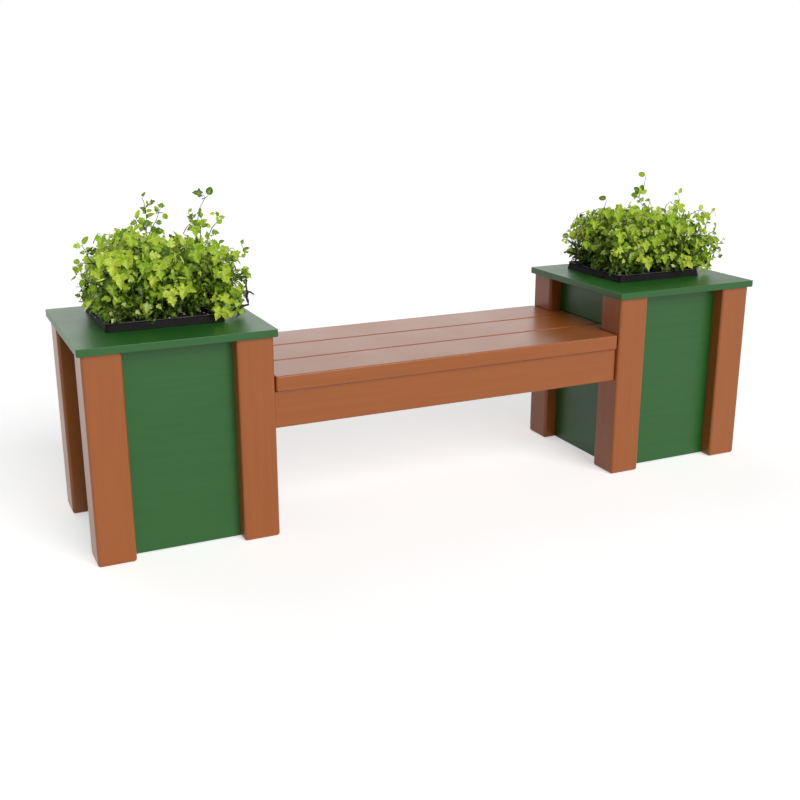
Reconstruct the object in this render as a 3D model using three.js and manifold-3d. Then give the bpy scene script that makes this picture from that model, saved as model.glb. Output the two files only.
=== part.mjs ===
// A park bench between two planter boxes, in millimetres, +Z up.
// X runs along the bench, the front faces -Y, and the origin is on the ground at the bench's centre.
import * as THREE from 'three'
import { mergeVertices } from 'three/addons/utils/BufferGeometryUtils.js'
import Module from 'manifold-3d'

const wasm = await Module()
wasm.setup()

// The whole bench
const overallLength = 2075
const planterSide = 490
const fitGap = 0.3
const cutOverrun = 1

// Planter posts
const postSide = 100
const postHeight = 560
const postEdgeRadius = 6
const postEndBevel = 3

// Planter panels, let into grooves along the middle of the posts
const panelThickness = 16
const panelFloorGap = 3
const grooveDepth = 12

// Top plate of a planter
const plateThickness = 20
const plateOverhang = 10
const plateCornerRadius = 5
const plateEdgeBevel = 1.5

// Battens that the top plate is screwed to
const battenWidth = 36
const battenHeight = 40

// Plant tray: a tapered tub with a flange on the plate and a collar above it. Its margins are taken
// from the plate's edges
const trayFrontMargin = 143
const trayRearMargin = 67
const traySideMargin = 97
const trayFlange = 18
const trayDepth = 150
const trayTaper = 9
const trayWall = 3
const collarHeight = 22
const collarLean = 5
const lipHeight = 3
const lipReach = 2
const trayCornerRadius = 12
const openingClearance = 3
const drainRadius = 6

// Soil and plants, one plant in each quarter of a tray
const soilBelowRim = 7
const soilMound = 4
const rootMargin = 30
const rootTaper = 8
const rootDepth = 70
const plantGap = 2
const trunkRadius = 7
const bushHalfLength = 232
const bushHalfWidth = 185
const bushUnderside = 14
const leftBushHeight = 236
const rightBushHeight = 208
const sprigRise = 106
const sprigRadius = 2.4
const leafLength = 30
const leafWidth = 20
const leafThickness = 5
const leftSeed = 11
const rightSeed = 47

// Seat slats, which share the depth of the planters
const seatHeight = 450
const slatCount = 3
const slatThickness = 43
const slatGap = 5
const slatEndGap = 3
const slatEdgeRadius = 6
const slatEndBevel = 3
const seatSetback = 2

// Rails under the slats and the bearers across them
const railHeight = 103
const railThickness = 45
const railSetback = 14
const railEdgeRadius = 5
const railEndBevel = 2
const bearerWidth = 45
const bearerHeight = 80
const housingDepth = 10

// Bolts through the inner posts into the end bearers
const boltRadius = 5
const boltInset = 21
const boltDrop = 40
const boltHeadRadius = 9.2
const boltHeadHeight = 7
const boltTail = 4
const nutRadius = 9.8
const nutHeight = 8

// Screws up into the slats and up into the top plates
const screwRadius = 3
const screwHeadRadius = 6
const screwHeadHeight = 4
const screwBite = 28
const screwInset = 42
const plateScrewBite = 13

// Roundness of small parts
const quarterSteps = 1
const trayQuarterSteps = 2
const boltSides = 10
const hexSides = 6
const screwSides = 8
const drainSides = 8
const rootSides = 10
const trunkSides = 6
const twigSides = 4

// Places that several pieces share
const planterOffset = (overallLength - planterSide) / 2
const postOffset = (planterSide - postSide) / 2
const postInnerFace = planterSide / 2 - postSide
const panelInnerFace = postOffset - panelThickness / 2
const seatHalfSpan = overallLength / 2 - planterSide
const slatUnderside = seatHeight - slatThickness
const railTop = slatUnderside - fitGap
const plateTop = postHeight + plateThickness
const plateSide = planterSide + plateOverhang * 2
const trayCentreY = (trayFrontMargin - trayRearMargin) / 2
const traySeat = plateTop + fitGap
const trayLedge = traySeat + trayWall
const trayTop = traySeat + collarHeight
const soilTop = trayTop - soilBelowRim

const brown = { color: 0xa6653e, roughness: 0.42, metalness: 0 }
const green = { color: 0x40703c, roughness: 0.38, metalness: 0 }
const black = { color: 0x2a2828, roughness: 0.5, metalness: 0 }
const earth = { color: 0x33261c, roughness: 0.95, metalness: 0 }
const leaf = { color: 0x6f9f28, roughness: 0.6, metalness: 0 }
const steel = { color: 0xb4b6b8, roughness: 0.35, metalness: 0.9 }

const bench = new THREE.Group()

// Names a finished solid and gives it its material
function addPiece(name, solid, finish) {
  const mesh = new THREE.Mesh(geometryOf(solid), new THREE.MeshStandardMaterial(finish))
  mesh.name = name
  bench.add(mesh)
}

// A closed three.js geometry as a solid that can be cut and joined
function solidOf(geometry) {
  const bare = geometry.clone()
  bare.deleteAttribute('normal')
  bare.deleteAttribute('uv')
  const merged = mergeVertices(bare)
  return new wasm.Manifold(new wasm.Mesh({
    numProp: 3,
    vertProperties: new Float32Array(merged.attributes.position.array),
    triVerts: new Uint32Array(merged.index.array),
  }))
}

function geometryOf(solid) {
  const mesh = solid.getMesh()
  const geometry = new THREE.BufferGeometry()
  geometry.setAttribute('position', new THREE.BufferAttribute(new Float32Array(mesh.vertProperties), 3))
  geometry.setIndex(new THREE.BufferAttribute(new Uint32Array(mesh.triVerts), 1))
  geometry.computeVertexNormals()
  return geometry
}

function roundedRectangle(width, height, radius) {
  const x = width / 2 - radius
  const y = height / 2 - radius
  const shape = new THREE.Shape()
  shape.absarc(x, y, radius, 0, Math.PI / 2)
  shape.absarc(-x, y, radius, Math.PI / 2, Math.PI)
  shape.absarc(-x, -y, radius, Math.PI, Math.PI * 3 / 2)
  shape.absarc(x, -y, radius, Math.PI * 3 / 2, Math.PI * 2)
  shape.closePath()
  return shape
}

// An extrusion along Z whose two ends are bevelled inside its outline, centred on the origin
function bevelledExtrusion(shape, length, bevel, steps) {
  const geometry = new THREE.ExtrudeGeometry(shape, {
    depth: length - bevel * 2,
    bevelEnabled: true,
    bevelThickness: bevel,
    bevelSize: bevel,
    bevelOffset: -bevel,
    bevelSegments: 1,
    curveSegments: steps,
  })
  return geometry.translate(0, 0, bevel - length / 2)
}

// A board along X or a post along Z, with rounded long edges, centred on the origin
function board(axis, length, width, height, radius, bevel) {
  const geometry = bevelledExtrusion(roundedRectangle(width, height, radius), length, bevel, quarterSteps)
  if (axis === 'x') geometry.rotateZ(Math.PI / 2).rotateY(Math.PI / 2)
  return solidOf(geometry)
}

function block(x, y, z, centre) {
  return solidOf(new THREE.BoxGeometry(x, y, z).translate(...centre))
}

// A round or six-sided bar from one end height to the other, along Z
function bar(radius, from, to, sides, tipRadius = radius) {
  const geometry = new THREE.CylinderGeometry(tipRadius, radius, to - from, sides)
  return solidOf(geometry.rotateX(Math.PI / 2).translate(0, 0, (from + to) / 2))
}

// Points of a rounded rectangle at one height, anticlockwise from above
function ring(halfLength, halfWidth, radius, z) {
  const outline = roundedRectangle(halfLength * 2, halfWidth * 2, radius).getPoints(trayQuarterSteps)
  return outline.slice(0, -1).map((p) => [p.x, p.y, z])
}

// A closed solid through rings of equally many points, with flat ends
function loft(rings) {
  const count = rings[0].length
  const last = (rings.length - 1) * count
  const index = []
  for (let r = 0; r < rings.length - 1; r++) {
    for (let i = 0; i < count; i++) {
      const a = r * count + i
      const b = r * count + (i + 1) % count
      index.push(a, b, b + count, a, b + count, a + count)
    }
  }
  for (let i = 1; i < count - 1; i++) {
    index.push(0, i + 1, i)
    index.push(last, last + i, last + i + 1)
  }
  const geometry = new THREE.BufferGeometry()
  geometry.setAttribute('position', new THREE.Float32BufferAttribute(rings.flat(2), 3))
  geometry.setIndex(index)
  return solidOf(geometry)
}

// One post, with a groove down each of the two faces that look at its neighbours
function post(sideX, sideY, boltSide) {
  const grooveWidth = panelThickness + fitGap * 2
  const grooveLength = postHeight + cutOverrun * 2
  const cutDepth = grooveDepth + fitGap + cutOverrun
  const cutOffset = (postSide - cutDepth) / 2 + cutOverrun
  const middle = postHeight / 2
  const body = board('z', postHeight - fitGap, postSide, postSide, postEdgeRadius, postEndBevel)
    .translate([0, 0, (postHeight - fitGap) / 2])
  const towardsX = block(cutDepth, grooveWidth, grooveLength, [-sideX * cutOffset, 0, middle])
  const towardsY = block(grooveWidth, cutDepth, grooveLength, [0, -sideY * cutOffset, middle])
  const grooved = body.subtract(towardsX).subtract(towardsY)
  if (!boltSide) return grooved
  const hole = bar(boltRadius + fitGap, -postSide, postSide, boltSides)
    .rotate([0, 90, 0])
    .translate([0, -sideY * (postSide / 2 - boltInset), railTop - boltDrop])
  return grooved.subtract(hole)
}

// A flat panel between two posts, its edges in their grooves, square to the given axis
function panel(axis) {
  const width = postInnerFace * 2 + grooveDepth * 2
  const height = postHeight - panelFloorGap - fitGap
  const z = panelFloorGap + height / 2
  return axis === 'y'
    ? block(width, panelThickness, height, [0, 0, z])
    : block(panelThickness, width, height, [0, 0, z])
}

const flangeHalfLength = plateSide / 2 - traySideMargin
const flangeHalfWidth = (plateSide - trayFrontMargin - trayRearMargin) / 2
const tubHalfLength = flangeHalfLength - trayFlange
const tubHalfWidth = flangeHalfWidth - trayFlange
const tubBottom = traySeat - trayDepth
const leanAtLedge = collarLean * trayWall / collarHeight

function topPlate() {
  const outline = roundedRectangle(plateSide, plateSide, plateCornerRadius)
  const openingLength = (tubHalfLength + openingClearance) * 2
  const openingWidth = (tubHalfWidth + openingClearance) * 2
  const hole = roundedRectangle(openingLength, openingWidth, trayCornerRadius)
  const points = hole.getPoints(quarterSteps).slice(0, -1)
  outline.holes.push(new THREE.Path(points.map((p) => new THREE.Vector2(p.x, p.y + trayCentreY))))
  return solidOf(bevelledExtrusion(outline, plateThickness, plateEdgeBevel, quarterSteps))
    .translate([0, 0, postHeight + plateThickness / 2])
}

// The tray's outline at one height, drawn in all round by the inset
function trayLevel(inset, z) {
  return ring(flangeHalfLength - inset, flangeHalfWidth - inset, trayCornerRadius, z)
}

// The tray, from the underside of its tub up over the collar's lip and down inside to its floor
function tray() {
  const leanUnderLip = collarLean * (collarHeight - lipHeight) / collarHeight
  const shell = loft([
    trayLevel(trayFlange + trayTaper, tubBottom),
    trayLevel(trayFlange, traySeat),
    trayLevel(0, traySeat),
    trayLevel(leanUnderLip, trayTop - lipHeight),
    trayLevel(leanUnderLip - lipReach, trayTop - lipHeight),
    trayLevel(leanUnderLip - lipReach, trayTop),
    trayLevel(collarLean + trayWall, trayTop),
    trayLevel(leanAtLedge + trayWall, trayLedge),
    trayLevel(trayFlange + trayWall, trayLedge),
    trayLevel(trayFlange + trayTaper + trayWall, tubBottom + trayWall),
  ])
  const drain = bar(drainRadius, tubBottom - cutOverrun, tubBottom + trayWall + cutOverrun, drainSides)
  const places = [-1, 0, 1].flatMap((x) => [-1, 0, 1].map((y) => [x, y]))
  return places.reduce(
    (left, [x, y]) => left.subtract(drain.translate([x * tubHalfLength / 2, y * tubHalfWidth / 2, 0])),
    shell,
  )
}

const plantPlaces = [[-1, -1], [1, -1], [-1, 1], [1, 1]]
const rootRadius = tubHalfWidth / 2 - rootMargin
const rootTipRadius = rootRadius - rootTaper

// Soil that fills the tray, with a pocket for each root ball
function soil() {
  const inset = trayWall + fitGap
  const leanAtTop = collarLean * (collarHeight - soilBelowRim) / collarHeight
  const bed = loft([
    trayLevel(trayFlange + trayTaper + inset, tubBottom + trayWall + fitGap),
    trayLevel(trayFlange + inset, trayLedge + fitGap),
    trayLevel(leanAtLedge + inset, trayLedge + fitGap),
    trayLevel(leanAtTop + inset, soilTop),
    trayLevel(leanAtTop + inset + trayFlange, soilTop + soilMound),
  ])
  const pocketBottom = soilTop - rootDepth - fitGap
  const pocketTop = soilTop + soilMound + cutOverrun
  const pocket = bar(rootTipRadius + fitGap, pocketBottom, pocketTop, rootSides, rootRadius + fitGap)
  return plantPlaces.reduce(
    (left, [x, y]) => left.subtract(pocket.translate([x * tubHalfLength / 2, y * tubHalfWidth / 2, 0])),
    bed,
  )
}

// Leafy clumps of a plant's crown: place out along X, out along Y and up, then half size in plan and
// half height, as shares of the crown's own size
const clumpShares = [
  [0.46, 0.46, 0.46, 0.45, 0.46],
  [0.24, 0.26, 0.58, 0.28, 0.42],
  [0.72, 0.30, 0.50, 0.28, 0.38],
  [0.30, 0.73, 0.50, 0.27, 0.36],
  [0.70, 0.71, 0.40, 0.28, 0.34],
]
const clumpRoughShare = 0.08
const clumpPlaceShare = 0.025
const trunkReachShare = 0.33

// The sprig that stands above a crown: its foot in the crown, how far out and up its tip may lie as
// the least and the most, and the places of its leaves along it
const sprigFootShares = [0.42, 0.38, 0.7]
const sprigReachShares = [0.3, 0.8]
const sprigLiftShares = [0.55, 1]
const leafAlongShares = [0.45, 0.62, 0.8, 1]
const leafTurnShare = 0.38
const leafTiltShare = 0.06
const leafStalkShare = 0.33

// A clump: a coarse ball with a broken surface
function clump(random) {
  const geometry = new THREE.IcosahedronGeometry(1, 1)
  geometry.deleteAttribute('normal')
  geometry.deleteAttribute('uv')
  const merged = mergeVertices(geometry)
  const place = merged.attributes.position
  for (let i = 0; i < place.count; i++) {
    const swell = 1 + random(-clumpRoughShare, clumpRoughShare)
    place.setXYZ(i, place.getX(i) * swell, place.getY(i) * swell, place.getZ(i) * swell)
  }
  return solidOf(merged)
}

// A thin straight twig between two points
function twig(from, to, radius) {
  const run = to.clone().sub(from)
  const geometry = new THREE.CylinderGeometry(radius / 2, radius, run.length(), twigSides)
  geometry.translate(0, run.length() / 2, 0)
  const lean = new THREE.Quaternion().setFromUnitVectors(new THREE.Vector3(0, 1, 0), run.normalize())
  geometry.applyQuaternion(lean)
  return solidOf(geometry.translate(from.x, from.y, from.z))
}

// A leaf blade with pointed ends, flat side up, turned about Z
function leafBlade(at, turn) {
  const geometry = new THREE.OctahedronGeometry(1)
  geometry.scale(leafLength / 2, leafWidth / 2, leafThickness / 2)
  geometry.translate(leafLength * leafStalkShare, 0, 0)
  geometry.rotateY(-Math.PI * 2 * leafTiltShare)
  geometry.rotateZ(turn)
  return solidOf(geometry.translate(at.x, at.y, at.z))
}

// One plant in its quarter of the tray: root ball, trunk, crown of clumps and sprigs, as one solid
function plant(sideX, sideY, bushHeight, seed) {
  THREE.MathUtils.seededRandom(seed)
  const random = (least, most) => least + (most - least) * THREE.MathUtils.seededRandom()
  const jitter = () => random(-clumpPlaceShare, clumpPlaceShare)
  const crownBase = soilTop + bushUnderside
  const crownHeight = plateTop + bushHeight - crownBase
  const at = (x, y, z) =>
    new THREE.Vector3(sideX * x * bushHalfLength, sideY * y * bushHalfWidth, crownBase + z * crownHeight)
  const trunkTop = crownBase + crownHeight * trunkReachShare
  const foot = bar(rootTipRadius, soilTop - rootDepth, soilTop + soilMound, rootSides, rootRadius)
    .add(bar(trunkRadius, soilTop, trunkTop, trunkSides))
    .translate([sideX * tubHalfLength / 2, sideY * tubHalfWidth / 2, 0])
  const clumps = clumpShares.map(([x, y, z, plan, rise]) => {
    const place = at(x + jitter(), y + jitter(), z + jitter())
    return clump(random)
      .scale([plan * bushHalfLength, plan * bushHalfWidth, rise * crownHeight])
      .translate([place.x, place.y, place.z])
  })
  const cellSide = bushHalfLength * 2
  const cellHeight = crownHeight * 2
  const cell = block(cellSide, cellSide, cellHeight,
    [sideX * (cellSide + plantGap) / 2, sideY * (cellSide + plantGap) / 2, crownBase + cellHeight / 2])
  const crown = clumps.reduce((joined, next) => joined.add(next)).intersect(cell)
  const sprigFoot = at(...sprigFootShares)
  const sprigTip = at(random(...sprigReachShares), random(...sprigReachShares), 1)
  sprigTip.z += random(...sprigLiftShares) * sprigRise
  const blades = leafAlongShares.map((along, i) =>
    leafBlade(sprigFoot.clone().lerp(sprigTip, along), random(i, i + 1) * Math.PI * 2 * leafTurnShare))
  const sprig = blades.reduce((joined, blade) => joined.add(blade), twig(sprigFoot, sprigTip, sprigRadius))
  return crown.add(foot).add(sprig)
}

// A screw that points up, its head's underside at height zero and its tip as long as it is wide
function screw(grip, bite) {
  const profile = [
    [0, -screwHeadHeight],
    [screwHeadRadius, -screwHeadHeight],
    [screwHeadRadius, 0],
    [screwRadius, 0],
    [screwRadius, grip + bite - screwRadius],
    [0, grip + bite],
  ].map(([x, y]) => new THREE.Vector2(x, y))
  return solidOf(new THREE.LatheGeometry(profile, screwSides).rotateX(Math.PI / 2))
}

function screwHole(from, to) {
  return bar(screwRadius + fitGap, from, to, screwSides)
}

const battenTop = postHeight - fitGap
const battenBottom = battenTop - battenHeight
const battenOffset = panelInnerFace - fitGap - battenWidth / 2

// A batten beside an end panel, between two posts, that the top plate is screwed to
function batten() {
  const length = (postInnerFace - fitGap) * 2
  return block(battenWidth, length, battenHeight, [0, 0, battenBottom + battenHeight / 2])
    .subtract(screwHole(battenBottom - cutOverrun, battenTop + cutOverrun))
}

function planter(side, sideX, bushHeight, seed) {
  const centreX = sideX * planterOffset
  const place = (solid, x, y) => solid.translate([centreX + x, y, 0])
  const ends = [['outer', sideX], ['inner', -sideX]]
  const faces = [['front', -1], ['rear', 1]]
  for (const [end, endX] of ends) {
    for (const [face, faceY] of faces) {
      const piece = place(post(endX, faceY, end === 'inner'), endX * postOffset, faceY * postOffset)
      addPiece(`${side}_post_${end}_${face}`, piece, brown)
    }
    addPiece(`${side}_panel_${end}`, place(panel('x'), endX * postOffset, 0), green)
    addPiece(`${side}_batten_${end}`, place(batten(), endX * battenOffset, 0), brown)
    const plateScrew = screw(battenHeight + fitGap, plateScrewBite)
      .translate([0, 0, battenBottom - fitGap])
    addPiece(`${side}_plate_screw_${end}`, place(plateScrew, endX * battenOffset, 0), steel)
  }
  for (const [face, faceY] of faces) {
    addPiece(`${side}_panel_${face}`, place(panel('y'), 0, faceY * postOffset), green)
  }
  const plateHole = screwHole(postHeight - cutOverrun, postHeight + plateScrewBite + fitGap)
  const plate = ends.reduce(
    (left, [, endX]) => left.subtract(plateHole.translate([endX * battenOffset, 0, 0])),
    topPlate(),
  )
  addPiece(`${side}_top_plate`, place(plate, 0, 0), green)
  addPiece(`${side}_tray`, place(tray(), 0, trayCentreY), black)
  addPiece(`${side}_soil`, place(soil(), 0, trayCentreY), earth)
  plantPlaces.forEach(([x, y], i) => {
    addPiece(`${side}_plant_${i + 1}`, place(plant(x, y, bushHeight, seed + i), 0, trayCentreY), leaf)
  })
}

const seatDepth = planterSide - seatSetback * 2
const slatWidth = (seatDepth - slatGap * (slatCount - 1)) / slatCount
const slatPitch = slatWidth + slatGap
const slatPlaces = Array.from({ length: slatCount }, (_, i) => (slatWidth - seatDepth) / 2 + i * slatPitch)
const slatHalfLength = seatHalfSpan + postSide / 2 - panelThickness / 2 - slatEndGap
const railOffset = planterSide / 2 - railSetback - railThickness / 2
const bearerHalfLength = railOffset - railThickness / 2 + housingDepth - fitGap
const bearerOffset = seatHalfSpan - fitGap - bearerWidth / 2
const screwPlaces = slatPlaces.map((y) => y - Math.sign(Math.round(y / slatPitch)) * screwInset)

// The slats run to the end panels, and are notched round the inner posts
function slat(y) {
  const z = seatHeight - slatThickness / 2
  let piece = board('x', slatHalfLength * 2, slatWidth, slatThickness, slatEdgeRadius, slatEndBevel)
    .translate([0, y, z])
  const notchSide = postSide + slatEndGap * 2
  for (const sideX of [-1, 1]) {
    for (const sideY of [-1, 1]) {
      const x = sideX * (seatHalfSpan + postSide / 2)
      piece = piece.subtract(block(notchSide, notchSide, seatHeight, [x, sideY * postOffset, z]))
    }
    for (const screwY of screwPlaces) {
      const hole = screwHole(slatUnderside - cutOverrun, slatUnderside + screwBite + fitGap)
      piece = piece.subtract(hole.translate([sideX * bearerOffset, screwY, 0]))
    }
  }
  return piece
}

// A rail between the inner posts, housed for the ends of the bearers
function rail(sideY) {
  const length = (seatHalfSpan - fitGap) * 2
  const housingHeight = bearerHeight + fitGap + cutOverrun
  const housingY = sideY * (railOffset - railThickness / 2)
  const housingZ = railTop + cutOverrun - housingHeight / 2
  let piece = board('x', length, railThickness, railHeight, railEdgeRadius, railEndBevel)
    .translate([0, sideY * railOffset, railTop - railHeight / 2])
  const housing = block(bearerWidth + fitGap * 2, housingDepth * 2, housingHeight, [0, housingY, housingZ])
  for (const x of [-bearerOffset, 0, bearerOffset]) {
    piece = piece.subtract(housing.translate([x, 0, 0]))
  }
  return piece
}

const boltPlaces = [-1, 1].map((sideY) => sideY * (postInnerFace + boltInset))
const boltHeight = railTop - boltDrop

function bearer(x, fastened) {
  let piece = block(bearerWidth, bearerHalfLength * 2, bearerHeight, [x, 0, railTop - bearerHeight / 2])
  if (!fastened) return piece
  for (const y of screwPlaces) {
    const hole = screwHole(railTop - bearerHeight - cutOverrun, railTop + cutOverrun)
    piece = piece.subtract(hole.translate([x, y, 0]))
  }
  for (const y of boltPlaces) {
    const hole = bar(boltRadius + fitGap, -bearerWidth, bearerWidth, boltSides).rotate([0, 90, 0])
    piece = piece.subtract(hole.translate([x, y, boltHeight]))
  }
  return piece
}

// A hexagon bolt along X, its head inside the planter box and its end out through the bearer
function bolt(sideX, y) {
  const reach = postSide + fitGap * 3 + bearerWidth + nutHeight + boltTail
  const solid = bar(boltHeadRadius, -boltHeadHeight, 0, hexSides)
    .add(bar(boltRadius, -boltHeadHeight / 2, reach, boltSides))
  const headSeat = seatHalfSpan + postSide + fitGap
  return solid.rotate([0, -sideX * 90, 0]).translate([sideX * headSeat, y, boltHeight])
}

function nut(sideX, y) {
  const solid = bar(nutRadius, 0, nutHeight, hexSides)
    .subtract(bar(boltRadius + fitGap, -cutOverrun, nutHeight + cutOverrun, boltSides))
  const seat = bearerOffset - bearerWidth / 2 - fitGap
  return solid.rotate([0, -sideX * 90, 0]).translate([sideX * seat, y, boltHeight])
}

function seat() {
  const sides = [['left', -1], ['right', 1]]
  const slatNames = ['front', 'middle', 'rear']
  slatPlaces.forEach((y, i) => addPiece(`seat_slat_${slatNames[i] ?? i + 1}`, slat(y), brown))
  addPiece('seat_rail_front', rail(-1), brown)
  addPiece('seat_rail_rear', rail(1), brown)
  addPiece('seat_bearer_middle', bearer(0, false), brown)
  for (const [side, sideX] of sides) {
    addPiece(`seat_bearer_${side}`, bearer(sideX * bearerOffset, true), brown)
    screwPlaces.forEach((y, i) => {
      const slatScrew = screw(bearerHeight + fitGap * 2, screwBite)
        .translate([sideX * bearerOffset, y, railTop - bearerHeight - fitGap])
      addPiece(`slat_screw_${side}_${slatNames[i] ?? i + 1}`, slatScrew, steel)
    })
    boltPlaces.forEach((y, i) => {
      const face = i ? 'rear' : 'front'
      addPiece(`post_bolt_${side}_${face}`, bolt(sideX, y), steel)
      addPiece(`post_nut_${side}_${face}`, nut(sideX, y), steel)
    })
  }
}

planter('left', -1, leftBushHeight, leftSeed)
planter('right', 1, rightBushHeight, rightSeed)
seat()

export default bench
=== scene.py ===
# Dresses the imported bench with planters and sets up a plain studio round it. Metres, +Z up.
import math
import random

import bmesh
import bpy
from mathutils import Matrix, Vector, noise


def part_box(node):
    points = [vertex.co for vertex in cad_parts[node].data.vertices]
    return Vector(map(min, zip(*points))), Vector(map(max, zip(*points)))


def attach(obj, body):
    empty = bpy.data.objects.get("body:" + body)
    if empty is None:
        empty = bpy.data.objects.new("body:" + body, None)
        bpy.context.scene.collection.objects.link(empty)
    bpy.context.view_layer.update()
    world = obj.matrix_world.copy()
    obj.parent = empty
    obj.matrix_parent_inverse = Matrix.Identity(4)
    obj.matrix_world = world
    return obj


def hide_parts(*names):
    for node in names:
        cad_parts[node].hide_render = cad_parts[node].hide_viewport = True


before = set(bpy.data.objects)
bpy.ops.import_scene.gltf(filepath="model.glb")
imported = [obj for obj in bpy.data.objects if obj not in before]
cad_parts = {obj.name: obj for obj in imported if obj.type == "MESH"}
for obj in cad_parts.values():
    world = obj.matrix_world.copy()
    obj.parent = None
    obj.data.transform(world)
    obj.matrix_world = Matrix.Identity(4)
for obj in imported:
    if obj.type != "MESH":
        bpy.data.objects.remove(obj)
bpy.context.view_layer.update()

SIDES = ("left", "right")
UP = Vector((0, 0, 1))
TINY = 1e-4

# Rounding of the boards: the radius of their long edges, and of their ends where that differs
POST_RADIUS = 0.0085
POST_ENDS = (0.008, 0.003)  # the foot's, the head's
PANEL_RADIUS = 0.0016
SLAT_RADIUS = 0.004
SLAT_CORNER = 0.008
RAIL_RADIUS = 0.005
RAIL_END = 0.003
BEARER_RADIUS = 0.002
PLATE_RADIUS = 0.005
PLATE_END = 0.0014
LEAST_RADIUS_SHARE = 0.2
CORNER_STEPS = 6
END_STEPS = 3
SHARP_ANGLE = math.radians(35)

# Room round what fits into a board, and how far a cutting body passes the board's surface
FIT_GAP = 0.0003
NOTCH_GAP = 0.003
HOLE_PAST = 0.01
GROOVE_PAST = 0.02

# Sizes of the tray
TRAY_RADIUS = 0.012
FLANGE = 0.018
TAPER = 0.009
TRAY_WALL = 0.003
COLLAR_HEIGHT = 0.022
COLLAR_LEAN = 0.005
LIP_HEIGHT = 0.003
LIP_REACH = 0.002
LIP_ROUND = 0.0007
TUB_ROUND = 0.004
ROUND_MIDDLE = TUB_ROUND * 0.3
DRAIN_RADIUS = 0.006
DRAIN_SIDES = 24
DRAIN_CUT = (-0.005, 0.01)

# Sizes of the soil, of the swells on its top as pairs of fineness and height, and of its crumbs
SOIL_BELOW_RIM = 0.007
SOIL_RINGS = 16
SOIL_LIFT = 0.003
SOIL_SWELLS = ((60, 0.0035), (170, 0.0015))
CRUMBS = 340
PERLITE_GRAINS = 60
CRUMB_SIZE = (0.0016, 0.0052)
CRUMB_LIFT = (0.002, 0.0048)
CRUMB_MARGIN = 0.018


def srgb(red, green, blue):
    """A colour given as it looks on a screen, 0 to 255, as linear values."""
    def linear(value):
        value = value / 255
        return value / 12.92 if value <= 0.04045 else ((value + 0.055) / 1.055) ** 2.4
    return (linear(red), linear(green), linear(blue), 1.0)


# Materials


class Nodes:
    """A node tree, with short calls for making its nodes."""

    def __init__(self, tree):
        self.tree = tree

    def feed(self, socket, value):
        """Gives a socket a number or a colour, or links it to another socket."""
        if isinstance(value, bpy.types.NodeSocket):
            self.tree.links.new(value, socket)
        else:
            socket.default_value = value

    def node(self, kind, inputs=None, **settings):
        """A new node; inputs says what feeds its sockets, by name or number."""
        made = self.tree.nodes.new(kind)
        for key, value in settings.items():
            setattr(made, key, value)
        for key, value in (inputs or {}).items():
            self.feed(made.inputs[key], value)
        return made

    def seen_directly(self):
        """1 for what the camera sees, also in or through a surface, and 0 for the light on things."""
        rays = self.node("ShaderNodeLightPath")
        seen = rays.outputs["Is Camera Ray"]
        for name in ("Is Glossy Ray", "Is Transmission Ray"):
            larger = self.node("ShaderNodeMath", {0: seen, 1: rays.outputs[name]}, operation="MAXIMUM")
            seen = larger.outputs["Value"]
        return seen


class Shader(Nodes):
    """A material with one Principled shader, and the nodes that feed it."""

    def __init__(self, name):
        self.material = bpy.data.materials.new(name)
        self.material.use_nodes = True
        super().__init__(self.material.node_tree)
        self.principled = self.tree.nodes["Principled BSDF"]
        self.coordinates = self.node("ShaderNodeTexCoord").outputs["Object"]

    def noise(self, scale, detail, roughness, stretch=(1, 1, 1)):
        """Noise over the object, finer along the axes whose stretch is larger."""
        mapping = self.node("ShaderNodeMapping", {"Scale": stretch, "Vector": self.coordinates})
        inputs = {"Scale": scale, "Detail": detail, "Roughness": roughness, "Vector": mapping.outputs[0]}
        return self.node("ShaderNodeTexNoise", inputs).outputs["Fac"]

    def attribute(self, name):
        return self.node("ShaderNodeAttribute", attribute_name=name).outputs["Fac"]

    def ramp(self, value, stops):
        """A colour ramp: stops are pairs of place and colour."""
        made = self.node("ShaderNodeValToRGB", {"Fac": value})
        elements = made.color_ramp.elements
        while len(elements) < len(stops):
            elements.new(0.5)
        for element, (place, colour) in zip(elements, stops):
            element.position = place
            element.color = colour
        return made.outputs["Color"]

    def tones(self, value, first, second):
        """Two colours over the values that noise mostly has."""
        return self.ramp(value, ((0.3, first), (0.7, second)))

    def spread(self, value, low, high, least=0.3, most=0.7):
        """Carries a value from least..most onto low..high."""
        ends = {"From Min": least, "From Max": most, "To Min": low, "To Max": high}
        return self.node("ShaderNodeMapRange", {"Value": value, **ends}).outputs["Result"]

    def mix(self, factor, first, second, blend="MIX"):
        """A mix of two colours, which are this node's sockets 6 and 7, with the result in 2."""
        inputs = {0: factor, 6: first, 7: second}
        return self.node("ShaderNodeMix", inputs, data_type="RGBA", blend_type=blend).outputs[2]

    def bump(self, *heights):
        """Bumps on top of one another: pairs of height value and depth in metres."""
        below = {}
        for value, depth in heights:
            inputs = {"Strength": 1.0, "Distance": depth, "Height": value, **below}
            below = {"Normal": self.node("ShaderNodeBump", inputs).outputs["Normal"]}
        self.set(**below)

    def set(self, **values):
        """Feeds the Principled shader's sockets, named with _ for a space."""
        for key, value in values.items():
            self.feed(self.principled.inputs[key.replace("_", " ")], value)

    def show(self, node):
        """Makes a node that joins two shaders the one that the surface shows."""
        self.feed(self.tree.nodes["Material Output"].inputs["Surface"], node.outputs["Shader"])


ALONG = {"x": (0.05, 1, 1), "y": (1, 0.05, 1), "z": (1, 1, 0.05)}


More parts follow.
